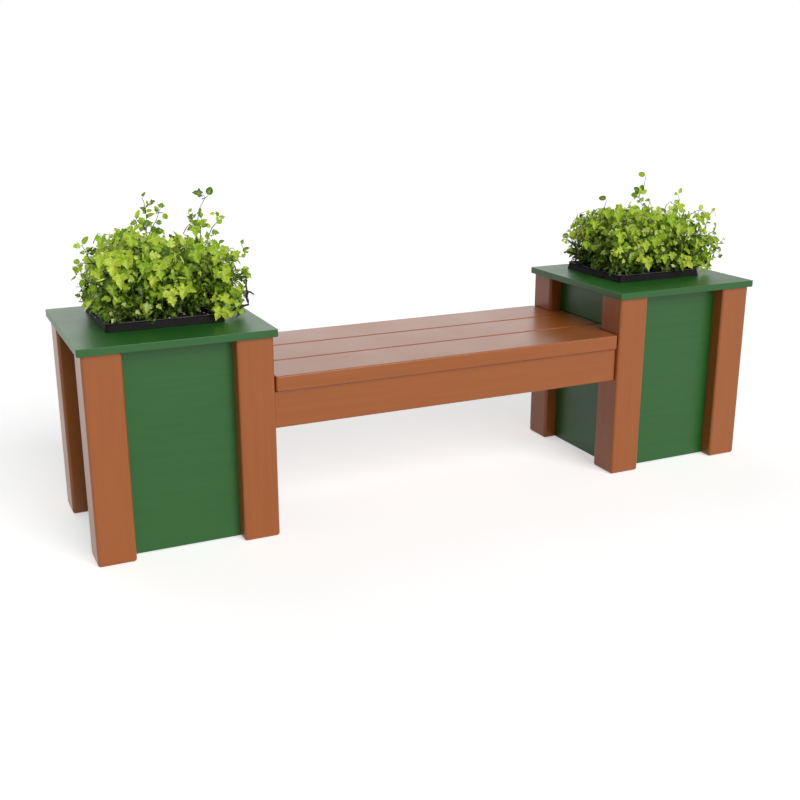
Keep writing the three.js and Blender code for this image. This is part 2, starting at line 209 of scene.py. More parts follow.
def board_material(name, axis, tones, roughness):
    """Smooth moulded plastic lumber: long faint streaks, soft clouds, fine grain and flecks."""
    made = Shader(name)
    dark, middle, light = tones
    streaks = made.noise(70, 4, 0.55, ALONG[axis])
    clouds = made.noise(5, 3, 0.5)
    flecks = made.noise(900, 2, 0.6)
    body = made.ramp(streaks, ((0.25, dark), (0.5, middle), (0.78, light)))
    cloudy = made.mix(made.spread(clouds, 0.0, 0.5), body, middle)
    fleck_share = made.spread(flecks, 0.0, 0.35, 0.66, 0.78)
    made.set(Base_Color=made.mix(fleck_share, cloudy, light))
    made.set(Roughness=made.spread(clouds, roughness - 0.03, roughness + 0.04), IOR=1.5)
    waves = made.noise(9, 2, 0.5, ALONG[axis])
    grain = made.noise(260, 4, 0.6, ALONG[axis])
    made.bump((waves, 0.00008), (grain, 0.00006), (flecks, 0.00003))
    return made.material


BROWN_TONES = (srgb(152, 81, 28), srgb(157, 85, 31), srgb(162, 90, 35))
GREEN_TONES = (srgb(27, 84, 25), srgb(29, 88, 27), srgb(32, 93, 31))
BROWN = {axis: board_material(f"brown_lumber_{axis}", axis, BROWN_TONES, 0.30) for axis in "xyz"}
GREEN = {axis: board_material(f"green_board_{axis}", axis, GREEN_TONES, 0.35) for axis in "xy"}
PLATE_GREEN = board_material("green_top_plate", "x", GREEN_TONES, 0.39)


def tray_material():
    """Black moulded plastic with a fine grain, dusty in places."""
    made = Shader("tray_plastic")
    clouds = made.noise(22, 4, 0.6)
    dust = made.spread(made.noise(130, 4, 0.6), 0.0, 0.5, 0.5, 0.8)
    plain = made.tones(clouds, srgb(14, 13, 13), srgb(24, 23, 23))
    made.set(Base_Color=made.mix(dust, plain, srgb(38, 36, 33)), Specular_IOR_Level=0.08)
    made.set(Roughness=made.spread(clouds, 0.5, 0.66))
    made.bump((made.noise(700, 2, 0.5), 0.00006))
    return made.material


def tray_lip_material():
    """The tray's lip, worn smooth by handling, its colour painted paler than the tray's as a highlight along
    its top, with pale dust in patches.
    """
    made = Shader("tray_lip")
    dust = made.spread(made.noise(60, 4, 0.6), 0.0, 0.8)
    # Both colours are painted paler than the tray's, as a highlight along the lip; the paler one also marks
    # the dust patches.
    made.set(Base_Color=made.mix(dust, srgb(58, 56, 52), srgb(112, 108, 94)))
    made.set(Roughness=made.spread(dust, 0.3, 0.5, 0.0, 0.8))
    made.bump((made.noise(400, 2, 0.5), 0.00008))
    return made.material


def soil_material():
    """Damp potting compost: dark crumbs with a few lighter specks."""
    made = Shader("soil")
    coarse = made.noise(90, 6, 0.7)
    fine = made.noise(600, 3, 0.7)
    body = made.ramp(coarse, ((0.3, srgb(22, 16, 12)), (0.55, srgb(46, 34, 25)), (0.8, srgb(74, 56, 42))))
    made.set(Base_Color=made.mix(made.spread(fine, 0.0, 0.8, 0.66, 0.8), body, srgb(128, 108, 84)))
    made.set(Roughness=0.95, Specular_IOR_Level=0.2)
    made.bump((coarse, 0.004), (fine, 0.0008))
    return made.material


def leaf_material():
    """Thin green leaves: a tone for each leaf, which also carries painted shade and painted light, paler
    ribs, soft blotches, and light that comes through.
    """
    made = Shader("foliage_leaf")
    tone = made.attribute("tone")
    rib = made.attribute("rib")
    blotch = made.noise(160, 3, 0.6)
    body = made.ramp(tone, (
        (0.0, srgb(22, 42, 4)),
        (0.22, srgb(84, 122, 14)),
        (0.45, srgb(176, 212, 40)),
        (0.75, srgb(238, 252, 88)),
        (0.86, srgb(236, 250, 130)),
        (1.0, srgb(250, 252, 200)),
    ))
    darker = made.mix(1.0, body, srgb(150, 172, 112), "MULTIPLY")
    shaded = made.mix(made.spread(blotch, 0.0, 0.7), body, darker)
    colour = made.mix(made.spread(rib, 0.0, 0.5, 0.45, 1.0), shaded, srgb(206, 226, 104))
    made.set(Base_Color=colour, Roughness=made.spread(blotch, 0.38, 0.52), Specular_IOR_Level=0.42)
    made.bump((rib, 0.0006), (blotch, 0.0004))
    light = made.mix(1.0, colour, srgb(226, 244, 120), "MULTIPLY")
    through = made.node("ShaderNodeBsdfTranslucent", {"Color": light})
    shaders = {1: made.principled.outputs["BSDF"], 2: through.outputs["BSDF"]}
    made.show(made.node("ShaderNodeMixShader", {"Fac": THROUGH_SHARE, **shaders}))
    return made.material


def grained_material(name, scale, detail, dark, light, roughness):
    """A rough surface of two tones with small bumps, for bark and for grains of perlite."""
    made = Shader(name)
    grain = made.noise(scale, detail, 0.6)
    made.set(Base_Color=made.tones(grain, dark, light), Roughness=roughness)
    made.bump((grain, 0.0003))
    return made.material


def steel_material():
    """Zinc-plated steel, faintly brushed and mottled."""
    made = Shader("fixings")
    brushed = made.noise(500, 3, 0.6, (0.1, 1, 1))
    mottle = made.noise(180, 3, 0.6)
    made.set(Base_Color=made.tones(mottle, srgb(150, 152, 154), srgb(196, 198, 200)), Metallic=1.0)
    made.set(Roughness=made.spread(brushed, 0.26, 0.46))
    made.bump((brushed, 0.00004))
    return made.material


THROUGH_SHARE = 0.34
TRAY = tray_material()
TRAY_LIP = tray_lip_material()
PERLITE = grained_material("perlite", 900, 3, srgb(196, 190, 166), srgb(232, 228, 208), 0.85)
SOIL = soil_material()
LEAF = leaf_material()
STEM = grained_material("foliage_stem", 260, 4, srgb(58, 80, 22), srgb(158, 180, 84), 0.5)
TWIG = grained_material("foliage_twig", 260, 4, srgb(20, 18, 18), srgb(52, 47, 46), 0.75)
STEEL = steel_material()


# Boards


def add_object(name, data):
    obj = bpy.data.objects.new(name, data)
    bpy.context.scene.collection.objects.link(obj)
    return obj


def new_mesh(name, vertices, faces, material):
    mesh = bpy.data.meshes.new(name)
    mesh.from_pydata(vertices, [], faces)
    mesh.materials.append(material)
    return add_object(name, mesh)


def rounded_outline(width, depth, radius):
    """Points of a rounded rectangle round the origin, anticlockwise."""
    points = []
    for quarter, (side_x, side_y) in enumerate(((1, 1), (-1, 1), (-1, -1), (1, -1))):
        for step in range(CORNER_STEPS + 1):
            turn = (quarter + step / CORNER_STEPS) * math.pi / 2
            x = side_x * (width / 2 - radius) + radius * math.cos(turn)
            y = side_y * (depth / 2 - radius) + radius * math.sin(turn)
            points.append((x, y))
    return points


def bands(start, count, levels):
    """Faces between rings of points, one band for each level above the first ring."""
    faces = []
    for level in range(levels):
        for i in range(count):
            a = start + level * count + i
            b = start + level * count + (i + 1) % count
            faces.append((a, b, b + count, a + count))
    return faces


def closed_faces(start, count, levels):
    """Faces of a closed body: its first ring, the bands and its last ring."""
    first = tuple(start + i for i in reversed(range(count)))
    last = tuple(start + levels * count + i for i in range(count))
    return [first] + bands(start, count, levels) + [last]


def loft(rings):
    """Vertices and faces of a closed body through rings of equally many points."""
    vertices = [point for ring in rings for point in ring]
    return vertices, closed_faces(0, len(rings[0]), len(rings) - 1)


def end_stations(low, high, ends):
    """Places along a bar, and how far its outline is drawn in there by the rounding of its two ends."""
    turns = [step / END_STEPS * math.pi / 2 for step in range(END_STEPS + 1)]
    first, last = (
        [(end * (1 - math.cos(turn)), end * (1 - math.sin(turn))) for turn in turns] for end in ends
    )
    stations = [(low + run, inset) for run, inset in first]
    return stations + [(high - run, inset) for run, inset in reversed(last)]


def prism(low, high, axis, radius, end):
    """A bar along an axis between two corners, with rounded long edges and rounded ends.

    end is the rounding of both ends, or a pair for the low and the high end.
    """
    across, up, along = {"x": (1, 2, 0), "y": (2, 0, 1), "z": (0, 1, 2)}[axis]
    size = [high[k] - low[k] for k in range(3)]
    middle = [(high[k] + low[k]) / 2 for k in range(3)]
    ends = end if isinstance(end, tuple) else (end, end)
    rings = []
    for place, inset in end_stations(low[along], high[along], ends):
        corner = max(radius - inset, radius * LEAST_RADIUS_SHARE)
        ring = []
        for u, v in rounded_outline(size[across] - inset * 2, size[up] - inset * 2, corner):
            point = [0.0, 0.0, 0.0]
            point[across] = middle[across] + u
            point[up] = middle[up] + v
            point[along] = place
            ring.append(tuple(point))
        rings.append(ring)
    return loft(rings)


def grown_block(box, past=0.0):
    """A box made larger all round by the gap of a fit, and longer both ways along Z."""
    low, high = (list(corner) for corner in box)
    for k, extra in enumerate((FIT_GAP, FIT_GAP, FIT_GAP + past)):
        low[k] -= extra
        high[k] += extra
    vertices = [(x, y, z) for z in (low[2], high[2]) for y in (low[1], high[1]) for x in (low[0], high[0])]
    faces = [(0, 2, 3, 1), (4, 5, 7, 6), (0, 1, 5, 4), (2, 6, 7, 3), (0, 4, 6, 2), (1, 3, 7, 5)]
    return vertices, faces


def cut(obj, bodies):
    """Cuts closed bodies, which don't touch each other, out of an object's mesh."""
    vertices, faces = [], []
    for more_vertices, more_faces in bodies:
        start = len(vertices)
        vertices += more_vertices
        faces += [tuple(start + i for i in face) for face in more_faces]
    tool = new_mesh("cutting_tool", vertices, faces, obj.data.materials[0])
    modifier = obj.modifiers.new("cut", "BOOLEAN")
    modifier.operation = "DIFFERENCE"
    modifier.solver = "EXACT"
    modifier.object = tool
    evaluated = obj.evaluated_get(bpy.context.evaluated_depsgraph_get())
    meshes = bpy.data.meshes
    done_with = (obj.data, tool.data)
    obj.data = meshes.new_from_object(evaluated)
    obj.modifiers.remove(modifier)
    bpy.data.objects.remove(tool)
    for mesh in done_with:
        meshes.remove(mesh)


def finish_shading(obj):
    """Smooth faces over the rounded edges, with the flat faces kept flat."""
    obj.data.shade_smooth()
    obj.data.set_sharp_from_angle(angle=SHARP_ANGLE)
    weighted = obj.modifiers.new("flat_faces", "WEIGHTED_NORMAL")
    weighted.keep_sharp = True


def dress(obj, node, body):
    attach(obj, body)
    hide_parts(node)


def put_board(node, body, material, cuts=(), slot="brown_lumber"):
    """Replaces a CAD board with a body whose edges are finely rounded."""
    obj = new_mesh(f"{node}_board", *body, material)
    if cuts:
        cut(obj, cuts)
    finish_shading(obj)
    dress(obj, node, "bench")


def board(node, axis, material, radius, end=None, **options):
    """Replaces a CAD board with a bar along an axis; end rounds its ends, by default like its edges."""
    put_board(node, prism(*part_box(node), axis, radius, end or radius), material, **options)


def make_planter_boards(side):
    panels = {place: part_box(f"{side}_panel_{place}") for place in ("front", "rear", "outer", "inner")}
    for end in ("outer", "inner"):
        for face in ("front", "rear"):
            grooves = [grown_block(panels[place], GROOVE_PAST) for place in (end, face)]
            board(f"{side}_post_{end}_{face}", "z", BROWN["z"], POST_RADIUS, POST_ENDS, cuts=grooves)
        board(f"{side}_batten_{end}", "y", BROWN["y"], BEARER_RADIUS)
    for place in panels:
        green = GREEN["x" if place in ("front", "rear") else "y"]
        board(f"{side}_panel_{place}", "z", green, PANEL_RADIUS, slot="green_board")


def make_top_plate(side):
    node = f"{side}_top_plate"
    low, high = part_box(node)
    (left, front, _), (right, rear, _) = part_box(f"{side}_tray")
    inset = FLANGE - NOTCH_GAP
    hole_low = (left + inset, front + inset, low[2] - HOLE_PAST)
    hole_high = (right - inset, rear - inset, high[2] + HOLE_PAST)
    hole = prism(hole_low, hole_high, "z", TRAY_RADIUS, 0.0)
    board(node, "z", PLATE_GREEN, PLATE_RADIUS, PLATE_END, cuts=[hole], slot="green_board")


def slat_corners(place):
    """A slat's corners seen from above, anticlockwise, with a step round each post."""
    (left, front, _), (right, rear, _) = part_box(f"seat_slat_{place}")
    if place == "middle":
        return (left, front), (right, front), (right, rear), (left, rear)
    post_low, post_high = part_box(f"left_post_inner_{place}")
    inner_left = post_high[0] + NOTCH_GAP
    between_posts = (inner_left, right - (inner_left - left))
    if place == "front":
        step = post_high[1] + NOTCH_GAP
        front_ends, rear_ends = between_posts, (left, right)
    else:
        step = post_low[1] - NOTCH_GAP
        front_ends, rear_ends = (left, right), between_posts
    return (
        (front_ends[0], front), (front_ends[1], front), (front_ends[1], step), (rear_ends[1], step),
        (rear_ends[1], rear), (rear_ends[0], rear), (rear_ends[0], step), (front_ends[0], step),
    )


def stepped_outline(corners, inset, z):
    """Points of an outline of right angles, drawn in by the inset, with every corner rounded."""
    corners = [Vector(corner) for corner in corners]
    points = []
    for k, corner in enumerate(corners):
        before = (corner - corners[k - 1]).normalized()
        after = (corners[(k + 1) % len(corners)] - corner).normalized()
        inward = Vector((-before.y - after.y, before.x + after.x))
        outside = before.cross(after) > 0
        radius = SLAT_CORNER - inset if outside else SLAT_CORNER + inset
        centre = corner + inward * inset + (after - before) * radius
        for step in range(CORNER_STEPS + 1):
            turn = step / CORNER_STEPS * math.pi / 2
            point = centre - after * (radius * math.cos(turn)) + before * (radius * math.sin(turn))
            points.append((point.x, point.y, z))
    return points


def make_slat(place):
    node = f"seat_slat_{place}"
    low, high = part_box(node)
    stations = end_stations(low[2], high[2], (SLAT_RADIUS, SLAT_RADIUS))
    rings = [stepped_outline(slat_corners(place), inset, z) for z, inset in stations]
    put_board(node, loft(rings), BROWN["x"])


def make_seat():
    bearers = [f"seat_bearer_{place}" for place in ("left", "middle", "right")]
    for place in ("front", "middle", "rear"):
        make_slat(place)
    for place in ("front", "rear"):
        housings = [grown_block(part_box(bearer)) for bearer in bearers]
        board(f"seat_rail_{place}", "x", BROWN["x"], RAIL_RADIUS, RAIL_END, cuts=housings)
    for bearer in bearers:
        board(bearer, "y", BROWN["y"], BEARER_RADIUS)


# Trays and soil


def tray_middle(side):
    low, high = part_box(f"{side}_tray")
    return (low[0] + high[0]) / 2, (low[1] + high[1]) / 2


def tray_outline(side, inset, z):
    """The tray's outline at one height, drawn in by the inset from the edge of its flange."""
    low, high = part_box(f"{side}_tray")
    middle_x, middle_y = tray_middle(side)
    points = rounded_outline(high[0] - low[0] - 2 * inset, high[1] - low[1] - 2 * inset, TRAY_RADIUS)
    return [(middle_x + x, middle_y + y, z) for x, y in points]


def lean_at(height):
    """How far the collar leans in at a height above the flange."""
    return COLLAR_LEAN * height / COLLAR_HEIGHT


def drain_hole(x, y, bottom):
    """A round bar along Z."""
    turns = [2 * math.pi * i / DRAIN_SIDES for i in range(DRAIN_SIDES)]
    ring = [(x + DRAIN_RADIUS * math.cos(turn), y + DRAIN_RADIUS * math.sin(turn)) for turn in turns]
    return loft([[(*point, bottom + reach) for point in ring] for reach in DRAIN_CUT])


def make_tray(side):
    low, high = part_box(f"{side}_tray")
    bottom, top = low[2], high[2]
    seat = top - COLLAR_HEIGHT
    ledge = seat + TRAY_WALL
    foot = FLANGE + TAPER
    lean_lip = lean_at(COLLAR_HEIGHT - LIP_HEIGHT)
    lip = lean_lip - LIP_REACH
    profile = (
        (foot + TUB_ROUND, bottom),
        (foot + ROUND_MIDDLE, bottom + ROUND_MIDDLE),
        (foot, bottom + TUB_ROUND),
        (FLANGE, seat),
        (LIP_ROUND, seat),
        (0.0, seat + LIP_ROUND),
        (lean_lip, top - LIP_HEIGHT),
        (lip + LIP_ROUND, top - LIP_HEIGHT),
        (lip, top - LIP_HEIGHT + LIP_ROUND),
        (lip, top - LIP_ROUND),
        (lip + LIP_ROUND, top),
        (COLLAR_LEAN + TRAY_WALL - LIP_ROUND, top),
        (COLLAR_LEAN + TRAY_WALL, top - LIP_ROUND),
        (lean_at(TRAY_WALL) + TRAY_WALL, ledge),
        (FLANGE + TRAY_WALL, ledge),
        (foot + TRAY_WALL, bottom + TRAY_WALL + TUB_ROUND),
        (foot + TRAY_WALL + TUB_ROUND, bottom + TRAY_WALL),
    )
    rings = [tray_outline(side, inset, z) for inset, z in profile]
    obj = new_mesh(f"{side}_tray_shell", *loft(rings), TRAY)
    middle_x, middle_y = tray_middle(side)
    step_x, step_y = (((high[k] - low[k]) / 2 - FLANGE) / 2 for k in range(2))
    places = [(middle_x + i * step_x, middle_y + j * step_y) for i in (-1, 0, 1) for j in (-1, 0, 1)]
    cut(obj, [drain_hole(x, y, bottom) for x, y in places])
    # The faces along the lip's top take the lip material, whose paler colour is a painted highlight.
    obj.data.materials.append(TRAY_LIP)
    for face in obj.data.polygons:
        if face.center.z > top - LIP_ROUND:
            face.material_index = 1
    finish_shading(obj)
    dress(obj, f"{side}_tray", f"{side}_planting")


def make_soil(side, seed):
    """A bed of compost with a crumbly top: rings drawn in to the middle, and loose crumbs on them."""
    chance = random.Random(seed)
    low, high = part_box(f"{side}_tray")
    top = high[2] - SOIL_BELOW_RIM
    ledge = high[2] - COLLAR_HEIGHT + TRAY_WALL + FIT_GAP
    floor = low[2] + TRAY_WALL + FIT_GAP
    profile = (
        (FLANGE + TAPER + TUB_ROUND, floor),
        (FLANGE + TAPER, floor + TUB_ROUND),
        (FLANGE, ledge),
        (lean_at(TRAY_WALL), ledge),
    )
    inset = TRAY_WALL + FIT_GAP
    rings = [tray_outline(side, reach + inset, z) for reach, z in profile]
    rim = tray_outline(side, lean_at(COLLAR_HEIGHT - SOIL_BELOW_RIM) + inset, top)
    centre = Vector((*tray_middle(side), 0))
    for level in range(SOIL_RINGS):
        share = 1 - level / SOIL_RINGS
        ring = []
        for x, y, z in rim:
            place = Vector((centre.x + (x - centre.x) * share, centre.y + (y - centre.y) * share, z))
            swell = sum(noise.noise(place * fineness) * height for fineness, height in SOIL_SWELLS)
            lift = 0.0 if level == 0 else SOIL_LIFT + swell
            ring.append((place.x, place.y, z + lift))
        rings.append(ring)
    obj = new_mesh(f"{side}_soil_bed", *loft(rings), SOIL)
    obj.data.materials.append(PERLITE)
    bed = bmesh.new()
    bed.from_mesh(obj.data)
    half_x, half_y = ((high[k] - low[k]) / 2 - CRUMB_MARGIN for k in range(2))
    for grain in range(CRUMBS):
        size = chance.uniform(*CRUMB_SIZE)
        aside = chance.uniform(-half_x, half_x), chance.uniform(-half_y, half_y), chance.uniform(*CRUMB_LIFT)
        place = Vector(aside) + Vector((centre.x, centre.y, top))
        turn = Matrix.Rotation(chance.uniform(0, math.pi), 4, Vector((chance.random(), chance.random(), 1)))
        shape = Matrix.Diagonal((size, size * chance.uniform(0.5, 1), size * chance.uniform(0.4, 0.8), 1))
        matrix = Matrix.Translation(place) @ turn @ shape
        made = bmesh.ops.create_icosphere(bed, subdivisions=1, radius=1.0, matrix=matrix)
        if grain < PERLITE_GRAINS:
            for vertex in made["verts"]:
                for face in vertex.link_faces:
                    face.material_index = 1
    bed.to_mesh(obj.data)
    bed.free()
    dress(obj, f"{side}_soil", f"{side}_planting")


# Plants

MM = 0.001
GOLDEN_TURN = 2.4

# Outlines of leaves: the numbers of the points where a rib ends, and half of the outline from foot to tip, in
# hundredths of the leaf's length
OUTLINES = {
    "oval": ((0, 5), ((0, 0), (10, 15), (30, 29), (55, 29), (80, 15), (100, 0))),
    "round": ((0, 5), ((0, 0), (6, 22), (30, 41), (62, 40), (88, 21), (100, 0))),
    "spear": ((0, 4), ((0, 0), (20, 7.5), (50, 10), (80, 5), (100, 0))),
    "lobed": ((2, 6, 13), (
        (10, 0), (0, 9), (-8, 22), (2, 33), (14, 30), (20, 40), (30, 55), (42, 50), (47, 36), (52, 25),
        (63, 29), (72, 24), (82, 15), (100, 0),
    )),
    "cut": ((5, 9, 14), (
        (6, 0), (0, 12), (7, 30), (16, 27), (19, 42), (30, 49), (36, 34), (42, 22), (52, 38), (64, 41),
        (66, 26), (72, 15), (82, 22), (90, 14), (100, 0),
    )),
    "toothed": ((4, 8, 15, 18), (
        (8, 0), (0, 10), (-10, 24), (2, 26), (0, 42), (12, 37), (16, 54), (24, 43), (34, 60), (38, 44),
        (47, 47), (45, 29), (52, 22), (60, 36), (67, 27), (76, 33), (79, 17), (88, 15), (100, 0),
    )),
}
LEAF_MIDDLE = 0.32
RIB_AT_TIP = 0.55


def leaf_template(shape, rings):
    """A leaf of length 1 along X: points with how near a rib each is, and faces round its middle."""
    tips, half = OUTLINES[shape]
    half = [(x / 100, y / 100) for x, y in half]
    outline = half + [(x, -y) for x, y in reversed(half[1:-1])]
    ribs = [0.0] * len(outline)
    for tip in tips:
        ribs[tip] = ribs[-tip] = RIB_AT_TIP
    points = [(LEAF_MIDDLE, 0.0, 1.0)]
    for ring in range(1, rings + 1):
        share = ring / rings
        for (x, y), rib in zip(outline, ribs):
            points.append((LEAF_MIDDLE + (x - LEAF_MIDDLE) * share, y * share, 1.0 - share * (1.0 - rib)))
    count = len(outline)
    faces = [(0, 1 + i, 1 + (i + 1) % count) for i in range(count)]
    return points, faces + [(a, d, c, b) for a, b, c, d in bands(1, count, rings - 1)]


LEAVES = {shape: leaf_template(shape, 1) for shape in ("oval", "round", "lobed", "cut", "spear")}
LEAVES["broad"] = leaf_template("toothed", 3)
LEAVES["ivy"] = leaf_template("lobed", 3)


class Growth:
    """Leaves and stems of one plant, gathered as two meshes."""

    def __init__(self):
        self.leaf_points, self.leaf_faces, self.ribs, self.tones = [], [], [], []
        self.stem_points, self.stem_faces = [], []

    def leaf(self, kind, foot, along, normal, size, tone, fold, curl, pleat=0.0):
        """A blade folded along its middle, curled down at tip and sides, and sunk along its ribs."""
        points, faces = LEAVES[kind]
        along = along.normalized()
        across = normal.cross(along)
        if across.length < TINY:
            across = along.orthogonal()
        across.normalize()
        normal = along.cross(across)
        start = len(self.leaf_points)
        for x, y, rib in points:
            height = fold * abs(y) - curl * x * x - SIDE_CURL * curl * y * y - pleat * rib
            self.leaf_points.append(foot + (along * x + across * y + normal * height) * size)
            self.ribs.append(rib)
            self.tones.append(tone)
        self.leaf_faces += [tuple(start + i for i in face) for face in faces]

    def tube(self, path, radius, tip_radius, sides, knots=None):
        """A stem along a path; knots is a random source for an uneven, knotty one."""
        start = len(self.stem_points)
        last = len(path) - 1
        for i, point in enumerate(path):
            run = (path[min(i + 1, last)] - path[max(i - 1, 0)]).normalized()
            side = run.cross(STEM_SIDE)
            side = side.normalized() if side.length > TINY else run.orthogonal().normalized()
            other = run.cross(side)
            width = radius + (tip_radius - radius) * i / last
            if knots:
                width *= knots.uniform(*KNOT_WIDTHS)
            for k in range(sides):
                turn = 2 * math.pi * k / sides
                self.stem_points.append(point + (side * math.cos(turn) + other * math.sin(turn)) * width)
        self.stem_faces += closed_faces(start, sides, last)


def curve_points(start, middle, end, count):
    """Points of a smooth bend from start to end, drawn towards the middle."""
    shares = [i / count for i in range(count + 1)]
    return [start * (1 - t) ** 2 + middle * 2 * t * (1 - t) + end * t * t for t in shares]


def turned(vector, turn, axis):
    vector = vector.copy()
    vector.rotate(Matrix.Rotation(turn, 3, axis))
    return vector


def random_direction(chance):
    z = chance.uniform(-1, 1)
    turn = chance.uniform(0, 2 * math.pi)
    flat = math.sqrt(1 - z * z)
    return Vector((flat * math.cos(turn), flat * math.sin(turn), z))


def value_at(stations, place):
    """The value at a place, in straight lines from station to station."""
    if place <= stations[0][0]:
        return stations[0][1]
    for (low, first), (high, second) in zip(stations, stations[1:]):
        if place <= high:
            return first + (second - first) * (place - low) / (high - low)
    return stations[-1][1]


def crown_top(side, x):
    """The height of the branches' highest tips above the plate, at a place along the tray."""
    return value_at(CROWN_TOPS[side], x / MM) * MM


def crown_point(chance, side, signs):
    """A branch's tip in a quarter of the crown, mostly at its skin, and how near the skin it is."""
    kind = chance.random()
    if kind < TOP_TIPS:
        across, deep, rise = chance.random(), chance.random(), chance.uniform(0.86, 1.0)
    elif kind < SIDE_TIPS:
        across, deep, rise = chance.uniform(0.84, 1.0), chance.random(), chance.random() ** 0.9
        if chance.random() < 0.5:
            across, deep = deep, across
    elif kind < RIM_TIPS:
        across, deep = chance.uniform(0.88, 1.0), chance.random()
        if chance.random() < 0.6:
            across, deep = deep, across
        height = chance.uniform(CROWN_FOOT, RIM_TIPS_TOP)
        return Vector((signs[0] * across * RIM_REACH[0], signs[1] * deep * RIM_REACH[1], height)), RIM_SKIN
    else:
        across, deep, rise = chance.random() ** 0.6, chance.random() ** 0.6, chance.random()
    stretch = (across ** SQUARENESS + deep ** SQUARENESS) ** (1 / SQUARENESS)
    if stretch > 1:
        across, deep = across / stretch, deep / stretch
    wide = value_at(CROWN_WIDTHS, rise)
    x = signs[0] * across * wide * CROWN_REACH[side, signs[0]]
    y = signs[1] * deep * wide * CROWN_DEPTH
    top = crown_top(side, x) - (REAR_DROP if y > 0 else 0)
    return Vector((x, y, CROWN_FOOT + rise * (top - CROWN_FOOT))), max(across, deep, rise)


def leafy_stem(growth, chance, centre, path, skin, glow):
    """Leaves in turn along a stem, each on a short stalk, and one at its tip: darker at the stem's foot and
    brighter at its tip. Painted shade darkens them the deeper the tip lies inside the crown and the lower
    they grow in it, and glow is a painted brightening of each side's whole crown."""
    length = sum((b - a).length for a, b in zip(path, path[1:]))
    count = max(int(length * (1 - BARE_SHARE) / LEAF_SPACING), 2)
    turn = chance.uniform(0, 2 * math.pi)
    for i in range(count + 1):
        share = BARE_SHARE + (1 - BARE_SHARE) * i / count
        place_on = share * (len(path) - 1)
        k = min(int(place_on), len(path) - 2)
        foot = path[k].lerp(path[k + 1], place_on - k)
        run = (path[k + 1] - path[k]).normalized()
        turn += GOLDEN_TURN
        side = turned(run.orthogonal().normalized(), turn, run)
        outward = Vector((foot.x - centre.x, foot.y - centre.y, 0))
        outward = outward.normalized() if outward.length > TINY else UP
        stalk = (side + run * 0.4 + outward * 0.35 + UP * 0.25).normalized()
        if i == count:
            stalk = (run + random_direction(chance) * 0.3).normalized()
        kind = chance.choices(*LEAF_KINDS)[0]
        size = chance.uniform(*LEAF_SIZES[kind])
        reach = size * chance.uniform(0.3, 0.8)
        blade = foot + stalk * reach
        blade.z = max(blade.z, centre.z + CROWN_FOOT - RIM_CLEAR)
        growth.tube([foot, foot.lerp(blade, 0.55) + UP * (reach * 0.1), blade], *STALK)
        normal = (UP * 0.75 + outward * 0.95 + random_direction(chance) * 1.05).normalized()
        along = stalk * 0.8 + outward * 0.25 - UP * 0.15 + random_direction(chance) * 0.5
        along -= normal * along.dot(normal)
        # Painted light and shade in the tone: brighter up the crown, as light from above; darker with skin **
        # 3 deeper inside the crown, as shade; glow brightens the whole crown.
        rise = (foot.z - centre.z) / CROWN_HEIGHT
        along_tone, painted_light_up_crown = (least + more * part for (least, more), part in zip(TONES, (share, rise)))
        tone = skin ** 3 * along_tone * painted_light_up_crown * glow
        tone = min(tone * (chance.choice(LEAF_TONES) + chance.uniform(*TONE_SPREAD)), MOST_TONE)
        # Pale cream leaves on the crown's skin: partly the plant's own pale leaves, partly painted highlights
        # standing in for glints.
        if skin > 0.7 and chance.random() < PALE_SHARE:
            tone = chance.uniform(*PALE_TONES)
            size *= 0.6
        fold, curl = chance.uniform(*LEAF_BEND), chance.uniform(*LEAF_BEND)
        growth.leaf(kind, blade, along, normal, size, tone, fold, curl)


# Shape of the crowns. Heights of their tops in millimetres: place from the tray's middle, height
CROWN_TOPS = {
    "left": ((-200, 138), (-150, 160), (-112, 196), (-60, 223), (30, 202), (180, 184), (215, 156)),
    "right": ((-205, 138), (-170, 170), (-139, 192), (0, 200), (70, 198), (110, 174), (150, 170), (215, 152)),
}
# How wide they are from foot to top, as a share of their reach to the left, to the right and in depth
CROWN_WIDTHS = ((0.0, 0.72), (0.12, 0.86), (0.35, 0.98), (0.7, 1.0), (0.88, 0.88), (1.0, 0.62))
CROWN_REACH = {("left", -1): 0.182, ("left", 1): 0.228, ("right", -1): 0.174, ("right", 1): 0.230}
CROWN_DEPTH = 0.158
CROWN_FOOT = 0.028
CROWN_HEIGHT = 0.2
REAR_DROP = 0.012
SQUARENESS = 6
# Chances, each with those before it, that a branch's tip lies at the top, at the sides or over the rim
TOP_TIPS, SIDE_TIPS, RIM_TIPS = 0.26, 0.70, 0.83
RIM_REACH = (0.146, 0.138)
RIM_TIPS_TOP = CROWN_FOOT * 2.2
RIM_SKIN = 0.75
RIM_CLEAR = 0.006

# Branches: how many in each quarter, how far out they may start, and at what share of their tip's reach
BRANCHES = 126
BRANCH_FOOT_MOST = (0.132, 0.124)
BRANCH_FOOT_SHARES = (0.35, 0.75)
# Stems: the radius at foot and tip, and the number of sides
TRUNK = (0.0045, 0.002, 7)
BRANCH_RADII = (0.0012, 0.0019)
BRANCH_TIP = (0.0006, 5)
STALK = (0.0007, 0.0004, 3)
BIG_STALK = (0.0013, 0.0008, 4)
SPRIG_WOOD = (0.0015, 0.0008, 4)
SPRIG_STALK = (0.0006, 0.0005, 3)
STEM_SIDE = Vector((0.31, 0.17, 0.93))
KNOT_WIDTHS = (0.75, 1.35)

# Leaves. Their tones run from 0, dark, to 1, pale
BARE_SHARE = 0.2
LEAF_SPACING = 0.0081
LEAF_KINDS = (("oval", "round", "lobed", "cut", "spear"), (0.22, 0.20, 0.20, 0.26, 0.12))
LEAF_SIZES = {
    "oval": (0.010, 0.023), "round": (0.008, 0.016), "lobed": (0.011, 0.027), "cut": (0.011, 0.030),
    "spear": (0.014, 0.029),
}
LEAF_BEND = (0.05, 0.45)
SIDE_CURL = 0.35
